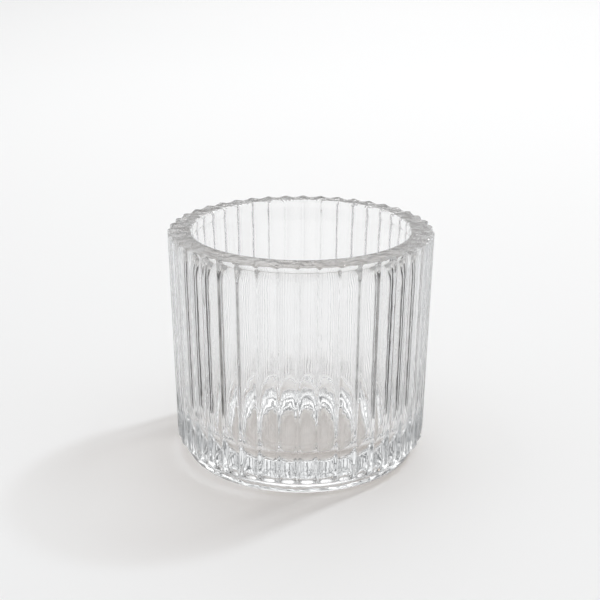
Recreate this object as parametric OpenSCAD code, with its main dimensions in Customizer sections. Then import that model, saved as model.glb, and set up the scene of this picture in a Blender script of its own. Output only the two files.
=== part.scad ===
// Fluted glass tealight holder: one piece of thick clear pressed glass.
// The origin is on the table under the middle of the foot, +Z is up, and one
// ridge between two flutes faces the front, -Y.

/* [Overall] */
// Height from the table to the rim
height = 61.5; // [54:0.5:70]
// Diameter over the ridges, at the rim
rim_d = 70; // [69:0.5:76]
// Diameter over the ridges, where the wall meets the foot
wall_foot_d = 68; // [67.6:0.2:69]

/* [Flutes] */
// Number of flutes round the wall
flutes = 42; // [41:1:44]
// Depth of a flute, from ridge to valley
flute_depth = 0.95; // [0.85:0.05:1]
// Radius across a flute's hollow
flute_round = 7.5; // [6.5:0.5:8.5]
// Radius of the hollow along each side of a ridge
flank_round = 0.9; // [0.85:0.05:1]
// Width of the flat along the top of a ridge, at the rim
ridge_flat = 0.7; // [0.4:0.1:0.8]

/* [Rim] */
// Rounding of the rim's outer edge
rim_round = 1; // [0.4:0.1:1.2]
// Rounding of the rim's inner edge
mouth_round = 0.7; // [0.3:0.1:1]
// Height of the band inside the mouth, down to its seam
mouth_band_h = 2.8; // [2:0.1:4]
// How far the wall under the seam stands inwards
seam_step = 0.12; // [0.05:0.01:0.2]

/* [Cavity] */
// Inside diameter at the mouth
mouth_d = 57.5; // [57:0.5:59]
// Inside diameter where the wall meets the dished floor
dish_d = 55.6; // [50:0.2:56.6]
// Height above the table at which the dished floor meets the wall
dish_top = 11; // [9:0.5:16]
// Diameter of the flat middle of the floor
floor_flat_d = 20; // [12:1:30]
// Height of the floor's flat middle above the table
floor_t = 3.5; // [3:0.25:5]

/* [Foot] */
// Outside diameter of the foot ring
foot_d = 63; // [62.4:0.2:64]
// Height of the foot ring
foot_h = 3.2; // [2:0.2:5]
// Rounding from the fluted wall in to the foot ring
shoulder_round = 2.2; // [1:0.1:2.2]
// Rounding of the foot ring's lower edge
foot_round = 0.8; // [0.3:0.1:1]
// Diameter of the hollow under the base, at the table
hollow_d = 48; // [40:1:58]
// Depth of the hollow under the base
hollow_depth = 0.8; // [0.4:0.1:1.5]

/* [Hidden] */
// How far a cutting shape runs past the glass it cuts
over = 2;
// Width of the slope at the edge of the hollow under the base
hollow_slope = 1;
// Facets of a full turn, and of a small round
turn_fn = 168;
round_fn = 48;
rim_r = rim_d / 2;
wall_foot_r = wall_foot_d / 2;
mouth_r = mouth_d / 2;
dish_r = dish_d / 2;
floor_flat_r = floor_flat_d / 2;
foot_r = foot_d / 2;
hollow_r = hollow_d / 2;
// Lean of the outside of the wall from the vertical
wall_draft = atan((rim_r - wall_foot_r) / (height - foot_h));
// Direction up the outside of the wall, in the section
wall_up = [sin(wall_draft), cos(wall_draft)];
// Radius of the dish, which leaves the flat floor in line with it
dish_out = dish_r - floor_flat_r;
dish_up = dish_top - floor_t;
dish_round = (dish_out * dish_out + dish_up * dish_up) / (2 * dish_up);
// Half a flute's width between two ridges' flats, at the rim
flute_half = rim_r * sin(180 / flutes) - ridge_flat / 2;
// From the middle of a flute to the axis of each flank's hollow
flank_y = flute_half - flank_round;
// Half width of the part of a flute that its large hollow makes
hollow_half = flank_y * flute_round / (flute_round - flank_round);
// Distance from a flute's large axis to the line between its two ridges
hollow_x = flute_round - flute_depth;
// Distance from the glass's axis to the line between two ridges, at the foot's top
ridge_line_r = wall_foot_r * cos(180 / flutes);

assert(wall_foot_r - flute_depth > foot_r, "the flutes would cut the foot ring");
assert(norm([hollow_x, flank_y]) > flute_round - flank_round, "the flanks would not meet the flutes");

// What rounding takes off at corner, where two edges leave along unit vectors a and b
module corner_waste(corner, a, b, r) {
    half = acos(a * b) / 2;
    middle = (a + b) / norm(a + b);
    centre = corner + middle * r / sin(half);
    reach = r / tan(half);
    difference() {
        polygon([corner, corner + a * reach, centre, corner + b * reach]);
        translate(centre) circle(r = r, $fn = round_fn);
    }
}

// Half section of the outside, flutes filled in
module outside_section() {
    difference() {
        polygon([
            [0, 0],
            [foot_r, 0],
            [foot_r, foot_h],
            [wall_foot_r, foot_h],
            [rim_r, height],
            [0, height]
        ]);
        corner_waste([rim_r, height], [-1, 0], -wall_up, rim_round);
        corner_waste([wall_foot_r, foot_h], [-1, 0], wall_up, shoulder_round);
        corner_waste([foot_r, 0], [-1, 0], [0, 1], foot_round);
    }
}

// What the dished floor takes from a flat one
module dish_waste() {
    difference() {
        translate([floor_flat_r, floor_t - over]) square([dish_out + over, dish_up + over]);
        translate([floor_flat_r, floor_t + dish_round]) circle(r = dish_round, $fn = turn_fn);
    }
}

// Half section of the space for the candle, open at the top
module cavity_section() {
    seam_z = height - mouth_band_h;
    difference() {
        polygon([
            [0, floor_t],
            [dish_r, floor_t],
            [dish_r, dish_top],
            [mouth_r - seam_step, seam_z - seam_step],
            [mouth_r, seam_z],
            [mouth_r, height + over],
            [0, height + over]
        ]);
        dish_waste();
    }
}

// Half section of the shallow hollow under the base
module hollow_section() {
    polygon([
        [0, -over],
        [hollow_r, -over],
        [hollow_r, 0],
        [hollow_r - hollow_slope, hollow_depth],
        [0, hollow_depth]
    ]);
}

// Half section of the glass
module glass_section() {
    difference() {
        outside_section();
        cavity_section();
        hollow_section();
        corner_waste([mouth_r, height], [1, 0], [0, -1], mouth_round);
    }
}

// One flute's cutter, leaning with the wall: a wide hollow with a small one along each ridge
module flute_cutter() {
    below = foot_h + over;
    rise = below + height + over;
    translate([ridge_line_r, 0, foot_h])
        rotate([0, wall_draft, 0])
            translate([0, 0, -below]) {
                intersection() {
                    translate([hollow_x, 0, 0]) cylinder(r = flute_round, h = rise, $fn = turn_fn);
                    translate([-flute_depth - over, -hollow_half, 0])
                        cube([flute_depth + 2 * over, 2 * hollow_half, rise]);
                }
                for (side = [-1, 1])
                    translate([0, side * flank_y, 0]) cylinder(r = flank_round, h = rise, $fn = round_fn);
            }
}

// The holder: round body, flutes cut from the foot ring up through the rim
module glass_holder() {
    color([0.86, 0.9, 0.9, 0.6])
        difference() {
            rotate_extrude($fn = turn_fn) glass_section();
            for (i = [0 : flutes - 1])
                rotate(-90 + (i + 0.5) * 360 / flutes) flute_cutter();
        }
}

glass_holder();
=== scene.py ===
"""Clear pressed-glass tealight holder with fluted sides, empty, on a pale surface.

Metres, +Z up, in the CAD model's frame. One ridge between two flutes faces the
front, -Y. The glass is drawn as one closed mesh of rings, made from a half
section and from how deep the flutes are at each turn about Z.
"""

import math

import bpy
import numpy as np
from mathutils import Matrix, Vector


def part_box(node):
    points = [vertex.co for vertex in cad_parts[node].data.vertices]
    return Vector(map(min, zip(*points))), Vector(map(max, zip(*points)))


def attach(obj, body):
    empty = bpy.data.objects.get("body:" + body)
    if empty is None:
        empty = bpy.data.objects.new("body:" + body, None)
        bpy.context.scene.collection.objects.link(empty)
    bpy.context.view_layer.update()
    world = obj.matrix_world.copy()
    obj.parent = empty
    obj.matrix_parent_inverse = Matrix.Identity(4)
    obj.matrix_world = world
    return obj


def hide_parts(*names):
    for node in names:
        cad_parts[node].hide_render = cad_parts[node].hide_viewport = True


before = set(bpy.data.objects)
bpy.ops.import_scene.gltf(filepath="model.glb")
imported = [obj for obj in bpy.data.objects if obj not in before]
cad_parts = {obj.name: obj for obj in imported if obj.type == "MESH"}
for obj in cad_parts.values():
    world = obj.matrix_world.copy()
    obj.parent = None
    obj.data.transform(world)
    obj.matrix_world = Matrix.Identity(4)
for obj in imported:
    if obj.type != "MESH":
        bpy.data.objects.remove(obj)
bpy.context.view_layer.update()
MM = 0.001

# ---- Overall size, from the CAD node's box, whose Y runs from ridge to ridge ----
_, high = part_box("glass_holder")
HEIGHT = high[2]
RIM_R = high[1]

# ---- Flutes: a shallow hollow panel between ridges with soft flanks ----
FLUTES = 42
PANEL_DEPTH = 0.45 * MM
RIDGE_WIDTH = 0.5 * MM
RIDGE_HEIGHT = 0.36 * MM
FOOT_RIDGE_HEIGHT = 0.6 * MM
RIDGE_FADE_TO = 16 * MM  # above this the ridges have RIDGE_HEIGHT, and below it they grow
SOFT_EDGE = 0.15 * MM  # fire polish over the edge between a flute and the rounds it cuts
# Shares of a pitch from a ridge to the valley beside it, closer together on the ridge
HALF_STEPS = (0, 0.012, 0.03, 0.055, 0.09, 0.135, 0.19, 0.26, 0.33, 0.41)

# ---- Rim and mouth ----
RIM_ROUND = 0.9 * MM
RIM_DIP = 0.35 * MM
SCALLOP = 0.6  # share of a flute's depth that the rounds above SCALLOP_FROM follow
SCALLOP_FROM = HEIGHT / 2
MOUTH_R = 28.75 * MM
MOUTH_ROUND = 0.7 * MM
MOUTH_BAND_H = 2.8 * MM  # from the rim down to the seam inside the mouth
MOUTH_BAND_STEP = 0.12 * MM  # how far the wall under the seam stands inwards
MOUTH_DRAFT = 0.03 * MM  # how much the band narrows down to the seam
UPPER_WALL = 3 * MM  # below the rim, where the wall's rings move closer together

# ---- Cavity ----
DISH_R = 27.8 * MM  # radius and height at which the wall meets the dished floor
DISH_TOP = 11.0 * MM
FLOOR_FLAT_R = 10.0 * MM
FLOOR_T = 3.5 * MM  # height of the floor's flat middle

# ---- Foot ----
WALL_FOOT_R = 34.0 * MM  # over the ridges, where the wall would meet the foot ring
FOOT_R = 31.5 * MM
FOOT_H = 3.2 * MM
FOOT_ROUND = 0.8 * MM
FOOT_FILLET = 0.3 * MM  # round from the foot ring out to the underside of the shoulder
SHOULDER_ROUND = 2.2 * MM
HOLLOW_R = 24.0 * MM  # of the shallow hollow under the base, at the table
HOLLOW_SLOPE = 1.0 * MM
HOLLOW_DEPTH = 0.8 * MM

# ---- Glass ----
GLASS_IOR = 1.5
ABSORB = (0.5, 0.54, 0.56, 1)
ABSORB_DENSITY = 5
ROUGH = 0.02
UPPER_ROUGH = 0.05
SOFT_FROM = 31 * MM  # the glass goes from ROUGH to UPPER_ROUGH between these heights
SOFT_TO = 37 * MM
WAVE = 4.0 * MM  # width of the waves all over the glass
WAVE_HEIGHT = 0.1 * MM
RIM_WAVE = 2.0 * MM  # width of the mottling on the rim
RIM_WAVE_HEIGHT = 1.0 * MM
RIM_WAVE_FULL = 0.6  # share of the rim's round, down from its top, where the mottling is full
WAVE_DETAIL = 1.0
SHADOW_BLEND = 0.5
SHADOW_THIN = (1, 1, 1, 1)
SHADOW_THICK = (0.53, 0.47, 0.42, 1)

# ---- Floor ----
FLOOR_SIZE = 3.0
FLOOR_GAP = 0.06 * MM
FLOOR_COLOUR = (0.858, 0.856, 0.854, 1)
FLOOR_ROUGH = 0.7

# ---- Lamps: place, size across, power in watts, point aimed at ----
LAMPS = {
    "key": ((1.9, 1.5, 3.1), 0.3, 49.0, (0, 0, 0.03)),
    "far": ((0.0, 1.4, 1.0), 1.2, 2.4, (0, 0.9, 0)),
    "end": ((0.0, 2.4, 1.2), 2.0, 4.0, (0, 1.6, 0)),
    "overhead": ((0.0, 0.45, 0.75), 0.7, 1.05, (0, 0.2, 0)),
}

# ---- Dark cards beside the glass, turns in degrees from the back, +Y ----
CARD_R = 0.06
CARD_HEIGHT = 0.07
CARD_FROM = 68
CARD_TO = 122
CARD_EDGES = 9
CARD_ROUGH = 0.9
CARD_DARK = (0.05, 0.05, 0.05, 1)
CARD_PALE = (0.85, 0.85, 0.85, 1)

# ---- Studio all round: shares of the way from the front, -Y, to the back, and colours ----
WORLD_STOPS = (
    (0.0, (0.1, 0.1, 0.1, 1)),  # behind the camera
    (0.5, (0.97, 0.985, 1.0, 1)),  # at both sides
    (0.7, (0.2, 0.205, 0.21, 1)),  # at the back, from here on
)
OVERHEAD = 0.84  # grey of the top
OVERHEAD_FROM = 0.3  # the upward share of a direction at which the top starts to show
OVERHEAD_FULL = 0.9

# ---- Camera ----
CAM_DISTANCE = 0.2947
CAM_ELEVATION = math.radians(19.40)
CAM_TURN = math.radians(1.05)
CAM_TARGET_Z = 0.04115
CAM_TARGET_X = -0.00016
CAM_ROLL = math.radians(0.23)
CAM_LENS = 65.78
CAM_SENSOR = 36.0
CAM_CLIP = 0.01

# ---- Light paths deep enough for thick glass ----
GLASS_BOUNCES = 32
GLOSSY_BOUNCES = 16


# ---- Shape of the glass ----
def arc(centre_r, centre_z, radius, start, stop, steps):
    """Points of a round, in degrees from +r towards +z, its first point left out."""
    turns = np.radians(np.linspace(start, stop, steps + 1)[1:])
    return [(centre_r + radius * math.cos(t), centre_z + radius * math.sin(t)) for t in turns]


def line(start, stop, steps):
    """Points from start to stop, its first point left out."""
    shares = np.linspace(0, 1, steps + 1)[1:]
    return [tuple(np.add(start, np.subtract(stop, start) * s)) for s in shares]


def wall_r(z):
    """Radius over the ridges of the drafted wall at height z."""
    return WALL_FOOT_R + (RIM_R - WALL_FOOT_R) * (z - FOOT_H) / (HEIGHT - FOOT_H)


def foot_section():
    """Half section from the middle of the underside out to the top of the foot ring."""
    points = [(0.0, HOLLOW_DEPTH)]
    points += line(points[-1], (HOLLOW_R - HOLLOW_SLOPE, HOLLOW_DEPTH), steps=6)
    points += line(points[-1], (HOLLOW_R, 0.0), steps=5)
    points += line(points[-1], (FOOT_R - FOOT_ROUND, 0.0), steps=2)
    points += arc(FOOT_R - FOOT_ROUND, FOOT_ROUND, FOOT_ROUND, -90, 0, steps=6)
    fillet_z = FOOT_H - FOOT_FILLET
    points += line(points[-1], (FOOT_R, fillet_z), steps=2)
    points += arc(FOOT_R + FOOT_FILLET, fillet_z, FOOT_FILLET, 180, 90, steps=4)
    return points


def side_section():
    """Half section over a ridge, from under the shoulder up the wall to the flat of the rim."""
    shoulder_z = FOOT_H + SHOULDER_ROUND
    shoulder_r = wall_r(shoulder_z) - SHOULDER_ROUND
    upper_z = HEIGHT - UPPER_WALL
    round_z = HEIGHT - RIM_ROUND
    points = [(shoulder_r, FOOT_H)]
    points += arc(shoulder_r, shoulder_z, SHOULDER_ROUND, -90, 0, steps=14)
    points += line(points[-1], (wall_r(upper_z), upper_z), steps=16)
    points += line(points[-1], (wall_r(round_z), round_z), steps=6)
    points += arc(RIM_R - RIM_ROUND, round_z, RIM_ROUND, 0, 90, steps=9)
    return points


def inside_section(rim_edge):
    """Half section from rim_edge over the rim and down the cavity to the middle of the floor."""
    seam_z = HEIGHT - MOUTH_BAND_H
    seam_r = MOUTH_R - MOUTH_DRAFT
    dish_out = DISH_R - FLOOR_FLAT_R
    dish_up = DISH_TOP - FLOOR_T
    dish_round = (dish_out**2 + dish_up**2) / (2 * dish_up)
    dish_start = math.degrees(math.atan2(dish_up - dish_round, dish_out))
    points = line(rim_edge, (MOUTH_R + MOUTH_ROUND, HEIGHT), steps=5)
    points += arc(MOUTH_R + MOUTH_ROUND, HEIGHT - MOUTH_ROUND, MOUTH_ROUND, 90, 180, steps=6)
    points += line(points[-1], (seam_r, seam_z), steps=2)
    points += line(points[-1], (seam_r - MOUTH_BAND_STEP, seam_z - MOUTH_BAND_STEP), steps=2)
    points += line(points[-1], (DISH_R, DISH_TOP), steps=10)
    points += arc(FLOOR_FLAT_R, FLOOR_T + dish_round, dish_round, dish_start, -90, steps=14)
    points += line(points[-1], (0.0, FLOOR_T), steps=8)
    return points


def smooth_min(a, b, width):
    """The lower of a and b, with the corner between them rounded over about width."""
    mix = np.clip(0.5 + 0.5 * (b - a) / width, 0, 1)
    return b + (a - b) * mix - width * mix * (1 - mix)


def flute_depths(turn, ridge_r, z):
    """How far the surface lies inside the circle over the ridges, at each turn from a ridge."""
    pitch = 2 * math.pi / FLUTES
    off_ridge = np.abs((turn / pitch + 0.5) % 1 - 0.5)
    panel = PANEL_DEPTH * (1 - (1 - 2 * off_ridge) ** 2)
    along = off_ridge * pitch * ridge_r
    down = np.clip((RIDGE_FADE_TO - z) / (RIDGE_FADE_TO - DISH_TOP), 0, 1)
    height = RIDGE_HEIGHT + (FOOT_RIDGE_HEIGHT - RIDGE_HEIGHT) * down
    ridge = height * (1 - np.exp(-((along / RIDGE_WIDTH) ** 2) / 2))
    return panel + ridge


def fluted_radii(r, z, turn):
    """Radii of one ring of the side, where the flutes and the section's rounds cut each other."""
    ridge_r = wall_r(z)
    depths = flute_depths(turn, ridge_r, z)
    follow = SCALLOP if z > SCALLOP_FROM else 0
    return smooth_min(r - follow * depths, ridge_r - depths, SOFT_EDGE)


def rim_dip(r, z):
    """How far the rim's top sinks in the middle of a flute, most at its outer edge."""
    rise = np.clip((z - HEIGHT + RIM_ROUND) / RIM_ROUND, 0, 1)
    out = np.clip((r - MOUTH_R) / (RIM_R - RIM_ROUND - MOUTH_R), 0, 1)
    return RIM_DIP * rise * out * out


def ring_points(r, z, turn, fluted=False):
    """One ring of the surface, sunk by the rim's dips where it is on the rim."""
    radii = fluted_radii(r, z, turn) if fluted else r
    heights = z - rim_dip(r, z) * (1 - np.cos(turn * FLUTES)) / 2
    return list(zip(radii * np.sin(turn), -radii * np.cos(turn), heights))


def ring_turns():
    """Turns about Z of a ring's points, the same in every flute, from the front ridge."""
    shares = list(HALF_STEPS) + [0.5] + [1 - share for share in HALF_STEPS[:0:-1]]
    flutes = [flute + np.array(shares) for flute in range(FLUTES)]
    return np.concatenate(flutes) * 2 * math.pi / FLUTES


def ring_faces(ring, last):
    """Faces between rings of that many points each, closed at point 0 and at point last."""
    around = [(i, (i + 1) % ring) for i in range(ring)]
    faces = [(0, 1 + j, 1 + i) for i, j in around]
    for below in range(1, last - ring, ring):
        above = below + ring
        faces += [(below + i, below + j, above + j, above + i) for i, j in around]
    faces += [(last - ring + i, last - ring + j, last) for i, j in around]
    return faces


def glass_mesh():
    """The whole glass as one closed surface of rings."""
    turn = ring_turns()
    foot = foot_section()
    side = side_section()
    inside = inside_section(side[-1])
    points = [(0.0, 0.0, HOLLOW_DEPTH)]
    for r, z in foot[1:]:
        points += ring_points(r, z, turn)
    for r, z in side:
        points += ring_points(r, z, turn, fluted=True)
    for r, z in inside[:-1]:
        points += ring_points(r, z, turn)
    points.append((0.0, 0.0, FLOOR_T))
    mesh = bpy.data.meshes.new("glass")
    mesh.from_pydata(points, [], ring_faces(len(turn), len(points) - 1))
    mesh.validate()
    for polygon in mesh.polygons:
        polygon.use_smooth = True
    return mesh


# ---- Helpers for materials and objects ----
def new_material(name):
    """A new material, its node tree and its shader."""
    material = bpy.data.materials.new(name)
    material.use_nodes = True
    return material, material.node_tree, material.node_tree.nodes["Principled BSDF"]


def place_of(tree, kind):
    """The X, Y and Z of a kind of texture coordinates."""
    place = tree.nodes.new("ShaderNodeTexCoord")
    split = tree.nodes.new("ShaderNodeSeparateXYZ")
    tree.links.new(place.outputs[kind], split.inputs["Vector"])
    return split.outputs


def remap(tree, value, start, stop, first=0, last=1):
    """A number that goes from first to last while value goes from start to stop."""
    spread = tree.nodes.new("ShaderNodeMapRange")
    spread.inputs["From Min"].default_value = start
    spread.inputs["From Max"].default_value = stop
    spread.inputs["To Min"].default_value = first
    spread.inputs["To Max"].default_value = last
    tree.links.new(value, spread.inputs["Value"])
    return spread.outputs["Result"]


def colours(tree, share, stops):
    """A colour ramp driven by share, with stops of a position and a colour, in rising order."""
    ramp = tree.nodes.new("ShaderNodeValToRGB")
    elements = ramp.color_ramp.elements
    for _ in stops[2:]:  # a new ramp has two
        elements.new(1)
    for element, (position, colour) in zip(elements, stops):
        element.position = position
        element.color = colour
    tree.links.new(share, ramp.inputs["Fac"])
    return ramp


def show(name, mesh, material):
    """A new object of that mesh and material, in the scene."""
    mesh.materials.append(material)
    shown = bpy.data.objects.new(name, mesh)
    bpy.context.scene.collection.objects.link(shown)
    return shown


# ---- Glass ----
def waves(tree, width, height, under=None):
    """A bump of soft waves, about that wide and that tall, on top of the normal under it."""
    place = tree.nodes.new("ShaderNodeTexCoord")
    noise = tree.nodes.new("ShaderNodeTexNoise")
    noise.inputs["Scale"].default_value = 1 / width
    noise.inputs["Detail"].default_value = WAVE_DETAIL
    bump = tree.nodes.new("ShaderNodeBump")
    bump.inputs["Distance"].default_value = height
    tree.links.new(place.outputs["Object"], noise.inputs["Vector"])
    tree.links.new(noise.outputs["Fac"], bump.inputs["Height"])
    if under:
        tree.links.new(under, bump.inputs["Normal"])
    return bump


def uneven_surface(tree, shader, height):
    """Soft waves all over the glass, and a finer mottling on top of the rim."""
    soft = waves(tree, WAVE, WAVE_HEIGHT)
    fine = waves(tree, RIM_WAVE, RIM_WAVE_HEIGHT, soft.outputs["Normal"])
    on_rim = remap(tree, height, HEIGHT - RIM_ROUND, HEIGHT - RIM_WAVE_FULL * RIM_ROUND)
    tree.links.new(on_rim, fine.inputs["Strength"])
    tree.links.new(fine.outputs["Normal"], shader.inputs["Normal"])


def lamps_through(tree, shader):
    """Shows the shader, but lets lamp light and the floor's light by, tinted most at the sides."""
    path = tree.nodes.new("ShaderNodeLightPath")
    lamp = tree.nodes.new("ShaderNodeMath")
    lamp.operation = "MAXIMUM"
    facing = tree.nodes.new("ShaderNodeLayerWeight")
    facing.inputs["Blend"].default_value = SHADOW_BLEND
    tint = colours(tree, facing.outputs["Facing"], ((0, SHADOW_THIN), (1, SHADOW_THICK)))
    clear = tree.nodes.new("ShaderNodeBsdfTransparent")
    mix = tree.nodes.new("ShaderNodeMixShader")
    tree.links.new(tint.outputs["Color"], clear.inputs["Color"])
    tree.links.new(path.outputs["Is Shadow Ray"], lamp.inputs[0])
    tree.links.new(path.outputs["Is Diffuse Ray"], lamp.inputs[1])
    tree.links.new(lamp.outputs["Value"], mix.inputs["Fac"])
    tree.links.new(shader.outputs["BSDF"], mix.inputs[1])
    tree.links.new(clear.outputs["BSDF"], mix.inputs[2])
    return mix.outputs["Shader"]


def clear_glass():
    """Clear glass, faintly tinted by its thickness and a little less polished higher up."""
    material, tree, shader = new_material("clear_glass")
    shader.inputs["Base Color"].default_value = (1, 1, 1, 1)
    shader.inputs["Roughness"].default_value = ROUGH
    shader.inputs["IOR"].default_value = GLASS_IOR
    shader.inputs["Transmission Weight"].default_value = 1.0
    height = place_of(tree, "Object")["Z"]
    uneven_surface(tree, shader, height)
    rough = remap(tree, height, SOFT_FROM, SOFT_TO, ROUGH, UPPER_ROUGH)
    tree.links.new(rough, shader.inputs["Roughness"])
    absorb = tree.nodes.new("ShaderNodeVolumeAbsorption")
    absorb.inputs["Color"].default_value = ABSORB
    absorb.inputs["Density"].default_value = ABSORB_DENSITY
    output = tree.nodes["Material Output"]
    tree.links.new(lamps_through(tree, shader), output.inputs["Surface"])
    tree.links.new(absorb.outputs["Volume"], output.inputs["Volume"])
    return material


def build_glass():
    """The glass itself, in place of its CAD node."""
    glass = show("glass_holder_clear", glass_mesh(), clear_glass())
    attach(glass, "root")
    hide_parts("glass_holder")


# ---- Floor ----
def pale_surface():
    """Matt, nearly white."""
    material, _, shader = new_material("pale_surface")
    shader.inputs["Base Color"].default_value = FLOOR_COLOUR
    shader.inputs["Roughness"].default_value = FLOOR_ROUGH
    return material


def build_floor():
    """A wide flat surface a hair under the foot ring."""
    corners = [(-1, -1), (1, -1), (1, 1), (-1, 1)]
    points = [(x * FLOOR_SIZE, y * FLOOR_SIZE, -FLOOR_GAP) for x, y in corners]
    mesh = bpy.data.meshes.new("floor")
    mesh.from_pydata(points, [], [(0, 1, 2, 3)])
    floor = show("floor", mesh, pale_surface())


# ---- Light ----
def area_light(name, place, size, power, aim):
    """A square soft lamp at place that shines on aim."""
    data = bpy.data.lights.new(name, "AREA")
    data.energy = power
    data.size = size
    light = bpy.data.objects.new(name, data)
    light.location = place
    light.rotation_euler = (Vector(aim) - Vector(place)).to_track_quat("-Z", "Y").to_euler()
    bpy.context.scene.collection.objects.link(light)


def card_shade(name, back, front):
    """Matt grey, darkest half way along Y from front to back."""
    material, tree, shader = new_material(name)
    along = remap(tree, place_of(tree, "Object")["Y"], front, back)
    shade = colours(tree, along, ((0, CARD_PALE), (0.5, CARD_DARK), (1, CARD_PALE)))
    shade.color_ramp.interpolation = "EASE"
    tree.links.new(shade.outputs["Color"], shader.inputs["Base Color"])
    shader.inputs["Roughness"].default_value = CARD_ROUGH
    return material


def dark_card(name, side):
    """A curved card beside the glass, darkest in its middle, that only glass and gloss show."""
    turns = np.radians(np.linspace(CARD_FROM, CARD_TO, CARD_EDGES))
    edges = [(side * CARD_R * math.sin(turn), CARD_R * math.cos(turn)) for turn in turns]
    points = [(x, y, z) for x, y in edges for z in (0, CARD_HEIGHT)]
    faces = [(2 * i, 2 * i + 2, 2 * i + 3, 2 * i + 1) for i in range(len(edges) - 1)]
    mesh = bpy.data.meshes.new(name)
    mesh.from_pydata(points, [], faces)
    card = show(name, mesh, card_shade(name, edges[0][1], edges[-1][1]))
    card.visible_camera = False
    card.visible_shadow = False
    card.visible_diffuse = False


def studio_world():
    """Bright at both sides and overhead, darker behind the camera and at the back."""
    world = bpy.data.worlds.new("studio")
    world.use_nodes = True
    bpy.context.scene.world = world
    tree = world.node_tree
    towards = place_of(tree, "Generated")
    all_round = colours(tree, remap(tree, towards["Y"], -1, 1), WORLD_STOPS)
    overhead = remap(tree, towards["Z"], OVERHEAD_FROM, OVERHEAD_FULL, 0, OVERHEAD)
    brighter = tree.nodes.new("ShaderNodeVectorMath")
    brighter.operation = "MAXIMUM"
    tree.links.new(all_round.outputs["Color"], brighter.inputs[0])
    tree.links.new(overhead, brighter.inputs[1])
    tree.links.new(brighter.outputs["Vector"], tree.nodes["Background"].inputs["Color"])


# ---- Camera ----
def build_camera():
    """The camera, a little above the rim, turned about Z and then rolled."""
    data = bpy.data.cameras.new("camera")
    data.lens = CAM_LENS
    data.sensor_width = CAM_SENSOR
    data.clip_start = CAM_CLIP
    camera = bpy.data.objects.new("camera", data)
    bpy.context.scene.collection.objects.link(camera)
    turned = Matrix.Rotation(CAM_TURN, 4, "Z")
    target = Vector((CAM_TARGET_X, 0, CAM_TARGET_Z))
    back = Vector((0, -math.cos(CAM_ELEVATION), math.sin(CAM_ELEVATION)))
    tilt = Matrix.Rotation(math.pi / 2 - CAM_ELEVATION, 4, "X") @ Matrix.Rotation(CAM_ROLL, 4, "Z")
    camera.matrix_world = turned @ Matrix.Translation(target + back * CAM_DISTANCE) @ tilt
    bpy.context.scene.camera = camera


def set_light_paths():
    """Bounces enough for thick glass, and colours shown as they are."""
    cycles = bpy.context.scene.cycles
    cycles.max_bounces = GLASS_BOUNCES
    cycles.transmission_bounces = GLASS_BOUNCES
    cycles.glossy_bounces = GLOSSY_BOUNCES
    cycles.use_denoising = True
    bpy.context.scene.view_settings.view_transform = "Standard"


build_glass()
build_floor()
for lamp_name, lamp in LAMPS.items():
    area_light(lamp_name, *lamp)
dark_card("flag_left", -1)
dark_card("flag_right", 1)
studio_world()
build_camera()
set_light_paths()
